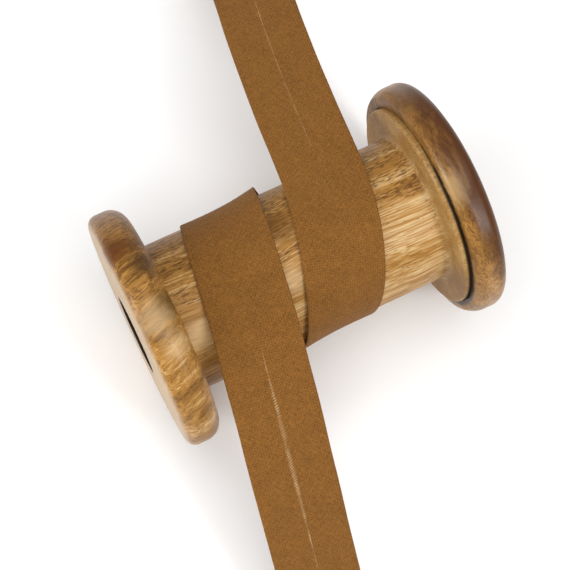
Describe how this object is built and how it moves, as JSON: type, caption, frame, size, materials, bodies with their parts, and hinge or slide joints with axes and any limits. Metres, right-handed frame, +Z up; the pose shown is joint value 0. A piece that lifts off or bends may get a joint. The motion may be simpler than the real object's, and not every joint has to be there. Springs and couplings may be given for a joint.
{
  "type": "bias binding tape on a turned wooden spool",
  "caption": "Folded bias-cut cotton tape wound once round a turned wooden spool that lies on its side, with both loose ends down on the surface.",
  "frame": {"origin": "on the surface, under the middle of the spool and of the tape's reach", "axes": "+X along the spool's axis towards the flange by the far loose end, +Y along the tape towards its far loose end, +Z up"},
  "size_m": [0.0864, 0.2461, 0.0609],
  "materials": {
    "barrel_wood": "turned mango wood, thin satin lacquer",
    "flange_wood": "turned mango wood with dark heartwood, satin lacquer",
    "binding_cloth": "plain woven cotton cut on the bias, pressed"
  },
  "bodies": {
    "root": {"barrel": "barrel_wood", "flange_left": "flange_wood", "flange_right": "flange_wood", "binding_tape": "binding_cloth"}
  },
  "joints": []
}
